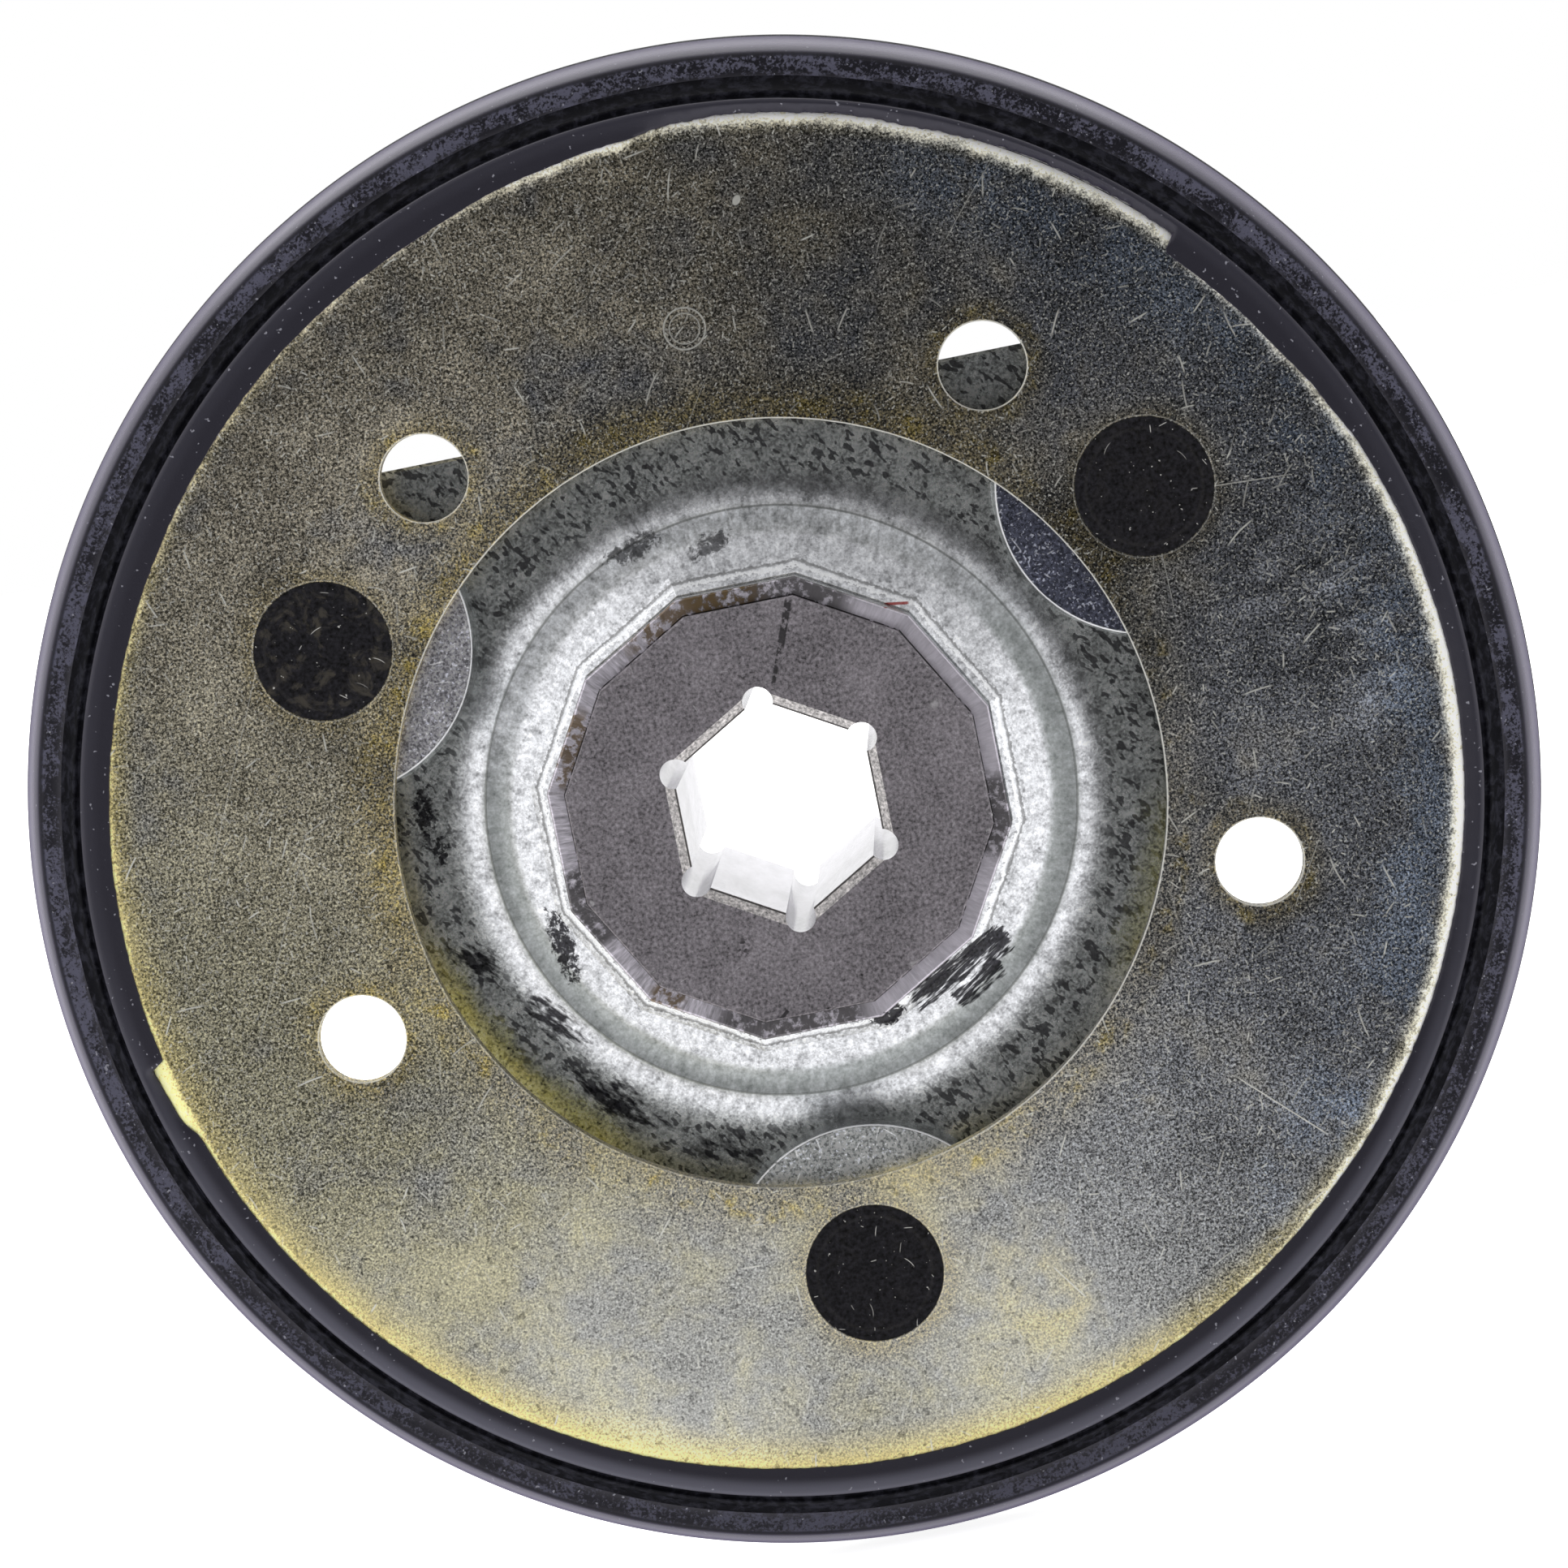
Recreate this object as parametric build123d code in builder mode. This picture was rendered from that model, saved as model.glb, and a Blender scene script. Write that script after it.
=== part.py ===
"""Rubber-tyred friction drive wheel that slides along a hexagonal shaft.

A pressed steel disc carries a moulded rubber tyre on its rim. Three rivets hold the disc to the
bosses of a stamped hub plate, and the plate's twelve-sided collar grips a sintered hub with a
hexagonal bore.

Row frame, in millimetres: the wheel turns about Y, its front face looks towards -Y, +Z is up and
the origin is on the axis in the middle of the tyre. A "depth" is measured backwards from the
disc's front face, and station() turns it into Y.
"""

import math
import os

from build123d import *

# Tyre
tyre_diameter = 152.4
tyre_middle_depth = 9.1
shoulder_radius = 74.3
shoulder_depth = 2.9
shoulder_round = 0.5
lip_radius = 67.2
front_band_radius = 69.45
front_band_depth = 0.1
step_radius = 70.05
step_depth = 0.5
valley_radius = 70.85
valley_depth = 1.65
sidewall_radius = 72.2
sidewall_depth = 2.85
rear_lip_radius = 66.7

# Friction disc
disc_thickness = 2.0
disc_opening_radius = 38.3
flange_radius = 69.0
flange_end_depth = 16.2
bend_radius = 2.6
edge_break = 0.2

# Holes and rivets share one pitch circle
pitch_radius = 47.8
open_hole_radius = 8.73 / 2
open_hole_angles = (54, 126, 198, 342)
rivet_names = {"rivet_right": 30, "rivet_left": 150, "rivet_bottom": 270}
rivet_hole_radius = 4.4
rivet_shank_radius = 4.34
rivet_head_radius = 6.95
rivet_fit_gap = 0.03
rivet_rim_break = 0.12
rivet_tail_radius = 7.2
rivet_tail_height = 2.6
rivet_tail_round = 2.2

# Hub plate
plate_thickness = 2.4
plate_front_depth = 5.7
plate_outline_radius = 16.1
boss_top_radius = 14.7
boss_base_radius = 15.1
boss_sink = 0.5
boss_edge_round = 0.2
boss_wall = 2.2
recess_rim_round = 0.9
outline_edge_break = 0.3
collar_flat_radius = 22.17
collar_front_depth = -3.6
collar_end_depth = 3.4
collar_flare_depth = 1.3
collar_flare_width = 2.0
collar_flare_drop = 1.4
collar_flare_round = 0.5
collar_rim_round = 0.25
collar_seat_gap = 0.03
dish_start_depth = 0.85
valley_ring_radius = 28.2
valley_ring_depth = 4.8
valley_ring_round = 3.0
ridge_radius = 29.55
ridge_depth = 4.7
dish_end_radius = 33.6
dish_back_corners = ((33.3, 8.1), (29.55, 7.15), (27.6, 7.15))
dish_back_start_depth = 3.55

# Hub
hub_flat_radius = 20.4
hub_sides = 12
hub_edge_break = 0.15
hub_front_depth = -4.5
hub_shoulder_depth = 12.0
hub_rear_depth = 38.0
journal_radius = 15.0
hex_across_flats = 19.1
hex_chamfer = 1.0
flute_radius = 1.5
flute_centre_radius = 10.8
journal_chamfer = 1.2

# Larger than the whole wheel, for shapes that are cut down afterwards
beyond = 80.0

# How closely an edge must match the place it is looked for at
tolerance = 0.01


def station(depth):
    """Y of a depth behind the disc's front face."""
    return depth - tyre_middle_depth


def facing(depth):
    """Plane at a depth, seen from the front: local x is X, local y is Z, local z is -Y."""
    return Plane.XZ.offset(-station(depth))


def at(radius, depth):
    """Point of a turned profile: radius along X, depth along Y."""
    return (radius, station(depth))


def front(depth):
    """A depth on the front side of the tyre, as it stands."""
    return depth


def mirrored(depth):
    """The same depth on the other side of the tyre's middle plane."""
    return 2 * tyre_middle_depth - depth


def circles_at(piece, radius, depth):
    """Circular edges of a piece that have this radius and lie at this depth."""
    return [
        edge
        for edge in piece.edges().filter_by(GeomType.CIRCLE)
        if abs(edge.radius - radius) < tolerance and abs(edge.center().Y - station(depth)) < tolerance
    ]


def polygon_by_flats(flat_radius, sides):
    """Regular polygon with one of its flats facing +X."""
    RegularPolygon(flat_radius, sides, major_radius=False, rotation=180 / sides)


def sidewall(side_depth):
    """Outline of one tyre side, from the shoulder in to the band on the disc."""
    Line(
        at(shoulder_radius, side_depth(shoulder_depth)),
        at(sidewall_radius, side_depth(sidewall_depth)),
    )
    ThreePointArc(
        at(sidewall_radius, side_depth(sidewall_depth)),
        at(valley_radius, side_depth(valley_depth)),
        at(step_radius, side_depth(step_depth)),
    )
    Line(
        at(step_radius, side_depth(step_depth)),
        at(front_band_radius, side_depth(front_band_depth)),
    )


os.makedirs("parts", exist_ok=True)

# Friction disc: flat annulus with a rounded bend and a flange pointing backwards
with BuildPart() as friction_disc:
    with BuildSketch(Plane.XY) as disc_profile:
        with BuildLine():
            Polyline(
                at(disc_opening_radius, 0),
                at(flange_radius, 0),
                at(flange_radius, flange_end_depth),
                at(flange_radius - disc_thickness, flange_end_depth),
                at(flange_radius - disc_thickness, disc_thickness),
                at(disc_opening_radius, disc_thickness),
                close=True,
            )
        make_face()
        outer_corner = disc_profile.vertices().group_by(Axis.X)[-1].sort_by(Axis.Y)[0]
        fillet(outer_corner, radius=bend_radius)
        inner_corner = disc_profile.vertices().sort_by_distance(
            at(flange_radius - disc_thickness, disc_thickness)
        )[0]
        fillet(inner_corner, radius=bend_radius - disc_thickness)
    revolve(axis=Axis.Y)
    for angle in open_hole_angles:
        with BuildSketch(facing(0)):
            with PolarLocations(pitch_radius, 1, start_angle=angle):
                Circle(open_hole_radius)
        extrude(amount=-disc_thickness, mode=Mode.SUBTRACT)
    front_rims = friction_disc.faces().sort_by(Axis.Y)[0].inner_wires().edges()
    chamfer(front_rims, length=edge_break)
    for angle in rivet_names.values():
        with BuildSketch(facing(0)):
            with PolarLocations(pitch_radius, 1, start_angle=angle):
                Circle(rivet_head_radius + rivet_fit_gap)
        with BuildSketch(facing(disc_thickness)):
            with PolarLocations(pitch_radius, 1, start_angle=angle):
                Circle(rivet_hole_radius)
        loft(mode=Mode.SUBTRACT)

# Rubber tyre: bonded over the bend and the flange, with a crowned tread
with BuildPart() as rubber_tyre:
    bend_centre = at(flange_radius - bend_radius, bend_radius)
    lip_offset = lip_radius - bend_centre[0]
    lip_depth = bend_radius - math.sqrt(bend_radius**2 - lip_offset**2)
    lip_angle = math.degrees(math.acos(lip_offset / bend_radius))
    with BuildSketch(Plane.XY) as tyre_profile:
        with BuildLine():
            bonded_bend = CenterArc(bend_centre, bend_radius, 0, -lip_angle)
            Polyline(
                bonded_bend @ 0,
                at(flange_radius, flange_end_depth),
                at(flange_radius - disc_thickness, flange_end_depth),
                at(rear_lip_radius, mirrored(front_band_depth)),
                at(front_band_radius, mirrored(front_band_depth)),
            )
            sidewall(mirrored)
            ThreePointArc(
                at(shoulder_radius, mirrored(shoulder_depth)),
                at(tyre_diameter / 2, tyre_middle_depth),
                at(shoulder_radius, shoulder_depth),
            )
            sidewall(front)
            Polyline(
                at(front_band_radius, front_band_depth),
                at(lip_radius, 0),
                at(lip_radius, lip_depth),
            )
        make_face()
        for side_depth in (front, mirrored):
            shoulder = at(shoulder_radius, side_depth(shoulder_depth))
            fillet(tyre_profile.vertices().sort_by_distance(shoulder)[0], radius=shoulder_round)
    revolve(axis=Axis.Y)

# Hub plate: rounded triangle with three bosses, a dished centre and a twelve-sided collar
with BuildPart() as hub_plate:
    with BuildSketch(Plane.XY) as dish_profile:
        valley_ring = at(valley_ring_radius, valley_ring_depth)
        ridge = at(ridge_radius, ridge_depth)
        flat_start = at(dish_end_radius, plate_front_depth)
        with BuildLine():
            Polyline(at(hub_flat_radius, dish_start_depth), valley_ring, ridge)
            TangentArc(flat_start, ridge, tangent=(-1, 0))
            Polyline(
                flat_start,
                at(beyond, plate_front_depth),
                at(beyond, plate_front_depth + plate_thickness),
                *[at(radius, depth) for radius, depth in dish_back_corners],
                at(hub_flat_radius, dish_back_start_depth),
                at(hub_flat_radius, dish_start_depth),
            )
        make_face()
        valley_corner = dish_profile.vertices().sort_by_distance(valley_ring)[0]
        fillet(valley_corner, radius=valley_ring_round)
    revolve(axis=Axis.Y)
    with BuildSketch(facing(0)):
        with PolarLocations(pitch_radius, 3, start_angle=30):
            Circle(plate_outline_radius)
        make_hull()
    extrude(amount=-beyond, mode=Mode.INTERSECT)
    outline_edges = [
        edge
        for edge in hub_plate.edges().filter_by(Plane.XZ)
        if math.hypot(edge.center().X, edge.center().Z) > dish_end_radius + outline_edge_break
    ]
    chamfer(outline_edges, length=outline_edge_break)
    with BuildSketch(facing(collar_front_depth)):
        polygon_by_flats(collar_flat_radius, hub_sides)
    extrude(amount=collar_front_depth - collar_end_depth)
    with BuildSketch(facing(collar_flare_depth)):
        polygon_by_flats(collar_flat_radius, hub_sides)
    with BuildSketch(facing(collar_flare_depth + collar_flare_drop)):
        polygon_by_flats(collar_flat_radius + collar_flare_width, hub_sides)
    loft()
    flare_edges = [
        edge
        for edge in hub_plate.edges().filter_by(GeomType.LINE).filter_by(Plane.XZ)
        if abs(edge.center().Y - station(collar_flare_depth)) < tolerance
    ]
    fillet(flare_edges, radius=collar_flare_round)
    for angle in rivet_names.values():
        with BuildSketch(facing(disc_thickness)):
            with PolarLocations(pitch_radius, 1, start_angle=angle):
                Circle(boss_top_radius)
        with BuildSketch(facing(plate_front_depth + boss_sink)):
            with PolarLocations(pitch_radius, 1, start_angle=angle):
                Circle(boss_base_radius)
        loft()
        with BuildSketch(facing(disc_thickness + plate_thickness)):
            with PolarLocations(pitch_radius, 1, start_angle=angle):
                Circle(boss_top_radius - boss_wall)
        extrude(amount=-beyond, mode=Mode.SUBTRACT)
        with BuildSketch(facing(0)):
            with PolarLocations(pitch_radius, 1, start_angle=angle):
                Circle(rivet_hole_radius)
        extrude(amount=-beyond, mode=Mode.SUBTRACT)
    boss_rims = circles_at(hub_plate, boss_top_radius, disc_thickness)
    fillet(boss_rims, radius=boss_edge_round)
    recess_rims = circles_at(
        hub_plate, boss_top_radius - boss_wall, plate_front_depth + plate_thickness
    )
    fillet(recess_rims, radius=recess_rim_round)
    with BuildSketch(facing(collar_front_depth)):
        polygon_by_flats(hub_flat_radius + collar_seat_gap, hub_sides)
    extrude(amount=-beyond, mode=Mode.SUBTRACT)
    collar_rim = hub_plate.faces().sort_by(Axis.Y)[0].outer_wire().edges()
    fillet(collar_rim, radius=collar_rim_round)

# Hexagonal hub: twelve-sided head, round journal behind it, bore with six corner flutes
with BuildPart() as hex_hub:
    with BuildSketch(facing(hub_front_depth)):
        polygon_by_flats(hub_flat_radius, hub_sides)
    extrude(amount=hub_front_depth - hub_shoulder_depth)
    chamfer(hex_hub.faces().sort_by(Axis.Y)[0].outer_wire().edges(), length=hub_edge_break)
    with BuildSketch(facing(hub_shoulder_depth)):
        Circle(journal_radius)
    extrude(amount=hub_shoulder_depth - hub_rear_depth)
    chamfer(hex_hub.faces().sort_by(Axis.Y)[-1].edges(), length=journal_chamfer)
    with BuildSketch(facing(hub_front_depth)):
        polygon_by_flats(hex_across_flats / 2, 6)
    extrude(amount=-beyond, mode=Mode.SUBTRACT)
    chamfer(hex_hub.faces().sort_by(Axis.Y)[0].inner_wires().edges(), length=hex_chamfer)
    chamfer(hex_hub.faces().sort_by(Axis.Y)[-1].inner_wires().edges(), length=hex_chamfer)
    with BuildSketch(facing(hub_front_depth)):
        with PolarLocations(flute_centre_radius, 6, start_angle=30):
            Circle(flute_radius)
    extrude(amount=-beyond, mode=Mode.SUBTRACT)

friction_disc.part.label = "friction_disc"
rubber_tyre.part.label = "rubber_tyre"
hub_plate.part.label = "hub_plate"
hex_hub.part.label = "hex_hub"
export_step(friction_disc.part, "parts/friction_disc.step")
export_step(rubber_tyre.part, "parts/rubber_tyre.step")
export_step(hub_plate.part, "parts/hub_plate.step")
export_step(hex_hub.part, "parts/hex_hub.step")

# Rivets: countersunk head flush with the disc, shank, and a domed tail inside each boss
for rivet_name, angle in rivet_names.items():
    grip_end = disc_thickness + plate_thickness
    with BuildPart() as rivet:
        with BuildSketch(facing(0)):
            with PolarLocations(pitch_radius, 1, start_angle=angle):
                Circle(rivet_head_radius)
        with BuildSketch(facing(disc_thickness)):
            with PolarLocations(pitch_radius, 1, start_angle=angle):
                Circle(rivet_shank_radius)
        loft()
        chamfer(rivet.edges().sort_by(Axis.Y)[0], length=rivet_rim_break)
        with BuildSketch(facing(disc_thickness)):
            with PolarLocations(pitch_radius, 1, start_angle=angle):
                Circle(rivet_shank_radius)
        extrude(amount=-plate_thickness)
        with BuildSketch(facing(grip_end)):
            with PolarLocations(pitch_radius, 1, start_angle=angle):
                Circle(rivet_tail_radius)
        extrude(amount=-rivet_tail_height)
        fillet(rivet.edges().sort_by(Axis.Y)[-1], radius=rivet_tail_round)
    rivet.part.label = rivet_name
    export_step(rivet.part, f"parts/{rivet_name}.step")
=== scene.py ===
"""Looks of a rubber-tyred friction wheel: camera, studio, the tyre with its uneven lip, and materials.

Blender's lengths are metres, as in the frame. Materials and the tyre's outline are in millimetres on
the wheel's own axes: x to the right and z up on the face, y along the axis. A bearing is an angle on
the face, counted in degrees from +X towards +Z.
"""

import math
import random

import bpy
from mathutils import Matrix, Vector


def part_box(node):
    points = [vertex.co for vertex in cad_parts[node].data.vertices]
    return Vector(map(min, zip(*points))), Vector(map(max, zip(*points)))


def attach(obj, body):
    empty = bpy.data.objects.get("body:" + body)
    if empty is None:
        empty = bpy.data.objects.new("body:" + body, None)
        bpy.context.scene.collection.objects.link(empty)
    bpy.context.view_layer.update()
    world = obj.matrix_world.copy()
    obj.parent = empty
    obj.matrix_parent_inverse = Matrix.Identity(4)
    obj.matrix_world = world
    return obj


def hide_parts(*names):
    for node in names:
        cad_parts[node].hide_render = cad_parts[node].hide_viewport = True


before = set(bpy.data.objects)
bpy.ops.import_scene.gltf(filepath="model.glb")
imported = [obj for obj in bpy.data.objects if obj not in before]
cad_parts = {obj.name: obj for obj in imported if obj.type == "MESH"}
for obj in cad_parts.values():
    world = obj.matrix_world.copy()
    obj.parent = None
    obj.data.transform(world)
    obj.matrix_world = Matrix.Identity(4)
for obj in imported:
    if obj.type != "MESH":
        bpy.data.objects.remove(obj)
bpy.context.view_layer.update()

MM = 0.001
BODY = "root"

# Places on the wheel, from the frame, in millimetres
disc_low, disc_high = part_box("friction_disc")
tyre_low, tyre_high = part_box("rubber_tyre")
FACE_Y = disc_low.y / MM
DISC_RADIUS = disc_high.x / MM
FLANGE_END_Y = disc_high.y / MM
TYRE_RADIUS = tyre_high.x / MM
PITCH_RADIUS = 47.8
FIRST_HOLE, HOLE_COUNT, HOLE_RADIUS = 54.0, 5, 4.365
FIRST_RIVET, RIVET_COUNT, RIVET_HEAD_RADIUS = 30.0, 3, 6.95
OPENING_RADIUS = 38.3
BOSS_RADIUS = 14.6
COLLAR_SIDES, HUB_FLAT, COLLAR_FLAT = 12, 20.4, 22.17
BORE_SIDES, BORE_FLAT, BORE_REACH = 6, 9.55, 12.6
BEND_RADIUS = 2.6
BEND_START = DISC_RADIUS - BEND_RADIUS


def face_depth(radius):
    """How far the disc's front surface lies behind its flat face at a radius, in millimetres."""
    if radius <= BEND_START:
        return 0.0
    return BEND_RADIUS - math.sqrt(max(BEND_RADIUS**2 - (radius - BEND_START) ** 2, 0.0))


# ---------------------------------------------------------------------------------------------
# Material fields
# ---------------------------------------------------------------------------------------------


def feed(tree, entry, value):
    """Puts a field, a number or a colour into a node's input."""
    if isinstance(value, Field):
        tree.links.new(value.socket, entry)
    elif isinstance(value, (tuple, list)):
        entry.default_value = (*value, 1.0)[: len(entry.default_value)]
    else:
        entry.default_value = value


class Field:
    """A number or colour that varies over a surface. Arithmetic on it adds math nodes."""

    def __init__(self, tree, socket):
        self.tree = tree
        self.socket = socket

    def math(self, operation, *values, clamp=False):
        node = self.tree.nodes.new("ShaderNodeMath")
        node.operation = operation
        node.use_clamp = clamp
        for entry, value in zip(node.inputs, (self, *values)):
            feed(self.tree, entry, value)
        return Field(self.tree, node.outputs[0])

    def __add__(self, other):
        return self.math("ADD", other)

    def __sub__(self, other):
        return self.math("SUBTRACT", other)

    def __rsub__(self, other):
        return self.math("MULTIPLY_ADD", -1.0, other)

    def __mul__(self, other):
        return self.math("MULTIPLY", other)

    def __truediv__(self, other):
        return self.math("DIVIDE", other)

    def __abs__(self):
        return self.math("ABSOLUTE")

    __radd__ = __add__
    __rmul__ = __mul__

    def clamp(self):
        return self.math("ADD", 0.0, clamp=True)

    def rise(self, low, high):
        """0 below low, 1 above high, and smooth between."""
        node = self.tree.nodes.new("ShaderNodeMapRange")
        node.interpolation_type = "SMOOTHSTEP"
        for entry, value in zip(node.inputs, (self, low, high, 0.0, 1.0)):
            feed(self.tree, entry, value)
        return Field(self.tree, node.outputs[0])

    def fall(self, low, high):
        """1 below low, 0 above high, and smooth between."""
        return 1.0 - self.rise(low, high)

    def band(self, centre, half_width, soft):
        """1 within half_width of centre, fading out over soft."""
        return abs(self - centre).fall(half_width, half_width + soft)


class Paint:
    """One procedural material: coordinates on the wheel, patterns, and its shader."""

    def __init__(self, name):
        self.material = bpy.data.materials.new(name)
        self.material.use_nodes = True
        self.tree = self.material.node_tree
        self.tree.nodes.clear()
        place = self.tree.nodes.new("ShaderNodeTexCoord").outputs["Object"]
        scaled = self.tree.nodes.new("ShaderNodeVectorMath")
        scaled.operation = "SCALE"
        self.tree.links.new(place, scaled.inputs[0])
        scaled.inputs["Scale"].default_value = 1.0 / MM
        self.point = Field(self.tree, scaled.outputs[0])
        self.x, self.y, self.z = self.split(self.point)
        self.radius = (self.x * self.x + self.z * self.z).math("SQRT")
        self.bearing = self.z.math("ARCTAN2", self.x) * math.degrees(1.0)
        normal = self.tree.nodes.new("ShaderNodeNewGeometry").outputs["Normal"]
        self.facing = self.split(Field(self.tree, normal))[1] * -1.0
        self.front = self.facing.rise(0.05, 0.4)

    def split(self, vector):
        """The three parts of a vector or colour."""
        node = self.tree.nodes.new("ShaderNodeSeparateXYZ")
        feed(self.tree, node.inputs[0], vector)
        return [Field(self.tree, output) for output in node.outputs]

    def join(self, x, y, z):
        """A vector or colour from three numbers."""
        node = self.tree.nodes.new("ShaderNodeCombineXYZ")
        for entry, value in zip(node.inputs, (x, y, z)):
            feed(self.tree, entry, value)
        return Field(self.tree, node.outputs[0])

    def noise(self, size, detail=3.0, rough=0.5, warp=0.0, point=None, shift=0.0):
        """Cloudy noise with features of about size millimetres, mostly between 0.3 and 0.7."""
        node = self.tree.nodes.new("ShaderNodeTexNoise")
        node.noise_dimensions = "4D"
        feed(self.tree, node.inputs["Vector"], point or self.point)
        node.inputs["W"].default_value = shift
        node.inputs["Scale"].default_value = 1.0 / size
        node.inputs["Detail"].default_value = detail
        node.inputs["Roughness"].default_value = rough
        node.inputs["Distortion"].default_value = warp
        return Field(self.tree, node.outputs["Fac"])

    def streaks(self, size, stretch, turn, detail=3.0, shift=0.0):
        """Noise drawn out along one direction on the face, turn degrees from +X."""
        c, s = math.cos(math.radians(turn)), math.sin(math.radians(turn))
        along = (self.x * c + self.z * s) * (1.0 / stretch)
        across = self.z * c - self.x * s
        return self.noise(size, detail, 0.6, point=self.join(along, across, self.y), shift=shift)

    def radial_streaks(self, size, stretch, detail=3.0, shift=0.0):
        """Noise drawn out towards and away from the axis."""
        turned = self.bearing * (math.radians(1.0) * 28.0)
        point = self.join(turned, self.radius * (1.0 / stretch), self.y)
        return self.noise(size, detail, 0.6, point=point, shift=shift)

    def scratches(self, cell, length, width, chance, shift, lean=0.0, spread=180.0, bow=0.0):
        """Thin marks on the face, at most one in each random cell, some fainter than others."""
        node = self.tree.nodes.new("ShaderNodeTexVoronoi")
        node.voronoi_dimensions = "2D"
        feed(self.tree, node.inputs["Vector"], self.join(self.x + shift, self.z + shift, 0.0))
        node.inputs["Scale"].default_value = 1.0 / cell
        centre_x, centre_z, _ = self.split(Field(self.tree, node.outputs["Position"]))
        turn, share, luck = self.split(Field(self.tree, node.outputs["Color"]))
        dx = self.x + shift - centre_x
        dz = self.z + shift - centre_z
        angle = turn * math.radians(spread) + math.radians(lean - spread / 2)
        cosine, sine = angle.math("COSINE"), angle.math("SINE")
        along = dx * cosine + dz * sine
        across = dz * cosine - dx * sine + along * along * ((share - 0.5) * bow)
        reach = (share + 0.25) * (length * 0.4)
        body = abs(across).fall(width * 0.3, width) * abs(along).fall(reach * 0.5, reach)
        kept = luck.math("LESS_THAN", chance) * abs(self.facing).rise(0.3, 0.6)
        return body * kept * (1.0 - luck / chance * 0.7)

    def spot(self, x, z, radius, soft, stretch=1.0, turn=0.0):
        """A round or stretched patch on the face: 1 inside radius, fading over soft."""
        c, s = math.cos(math.radians(turn)), math.sin(math.radians(turn))
        along = ((self.x - x) * c + (self.z - z) * s) * (1.0 / stretch)
        across = (self.z - z) * c - (self.x - x) * s
        distance = (along * along + across * across).math("SQRT")
        return distance.fall(radius, radius + soft)

    def stroke(self, start, end, width, soft=0.05):
        """A straight line on the face between two places."""
        (x, z), (end_x, end_z) = start, end
        length = math.hypot(end_x - x, end_z - z)
        c, s = (end_x - x) / length, (end_z - z) / length
        along = (self.x - x) * c + (self.z - z) * s - length / 2
        across = (self.z - z) * c - (self.x - x) * s
        body = abs(across).fall(width / 2, width / 2 + soft)
        return body * abs(along).fall(length * 0.4, length * 0.5)

    def sector(self, bearing, half, soft):
        """1 within half degrees of a bearing, fading over soft degrees."""
        turned = (self.bearing + (540.0 - bearing)).math("MODULO", 360.0) - 180.0
        return abs(turned).fall(half, half + soft)

    def ring_distance(self, first, count):
        """Distance to the nearest of count centres spaced round the pitch circle."""
        step = 360.0 / count
        folded = (self.bearing + (360.0 + step / 2 - first)).math("MODULO", step) - step / 2
        angle = folded * math.radians(1.0)
        along = self.radius * angle.math("COSINE") - PITCH_RADIUS
        across = self.radius * angle.math("SINE")
        return (along * along + across * across).math("SQRT")

    def ring_mark(self, x, z):
        """Two plain rings pressed into the face."""
        dx, dz = self.x - x, self.z - z
        distance = (dx * dx + dz * dz).math("SQRT")
        return self.most(distance.band(2.05, 0.05, 0.07), distance.band(1.5, 0.03, 0.07) * 0.8)

    def ragged(self, shape, tear, low, high):
        """A soft shape with its edge torn by a pattern that varies round zero."""
        return (shape + tear * shape.rise(0.0, 0.25)).rise(low, high)

    def flat_distance(self, sides):
        """Distance from the axis measured across the flats of a polygon with a flat at +X."""
        step = 360.0 / sides
        folded = (self.bearing + (360.0 + step / 2)).math("MODULO", step) - step / 2
        return self.radius * (folded * math.radians(1.0)).math("COSINE")

    def most(self, *fields):
        """The largest of several fields."""
        top = fields[0]
        for other in fields[1:]:
            top = top.math("MAXIMUM", other)
        return top

    def mix(self, share, first, second, blend="MIX"):
        """One colour blended into another."""
        node = self.tree.nodes.new("ShaderNodeMix")
        node.data_type = "RGBA"
        node.blend_type = blend
        feed(self.tree, node.inputs[0], share)
        feed(self.tree, node.inputs[6], first)
        feed(self.tree, node.inputs[7], second)
        return Field(self.tree, node.outputs[2])

    def scale_colour(self, colour, amount):
        """The colour multiplied by a number."""
        return self.mix(1.0, colour, self.join(amount, amount, amount), "MULTIPLY")

    def bump(self, height, depth):
        """Normal for a height field from 0 to 1 that stands for depth millimetres."""
        node = self.tree.nodes.new("ShaderNodeBump")
        node.inputs["Strength"].default_value = 1.0
        node.inputs["Distance"].default_value = depth * MM
        feed(self.tree, node.inputs["Height"], height)
        return Field(self.tree, node.outputs[0])

    def finish(self, colour, roughness, normal=None, metallic=0.0, **constants):
        """Joins everything in one shader and returns the material."""
        shader = self.tree.nodes.new("ShaderNodeBsdfPrincipled")
        output = self.tree.nodes.new("ShaderNodeOutputMaterial")
        self.tree.links.new(shader.outputs[0], output.inputs[0])
        feed(self.tree, shader.inputs["Base Color"], colour)
        feed(self.tree, shader.inputs["Roughness"], roughness)
        feed(self.tree, shader.inputs["Metallic"], metallic)
        if normal is not None:
            feed(self.tree, shader.inputs["Normal"], normal)
        for name, value in constants.items():
            shader.inputs[name.replace("_", " ")].default_value = value
        return self.material


# ---------------------------------------------------------------------------------------------
# Materials
# ---------------------------------------------------------------------------------------------


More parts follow.
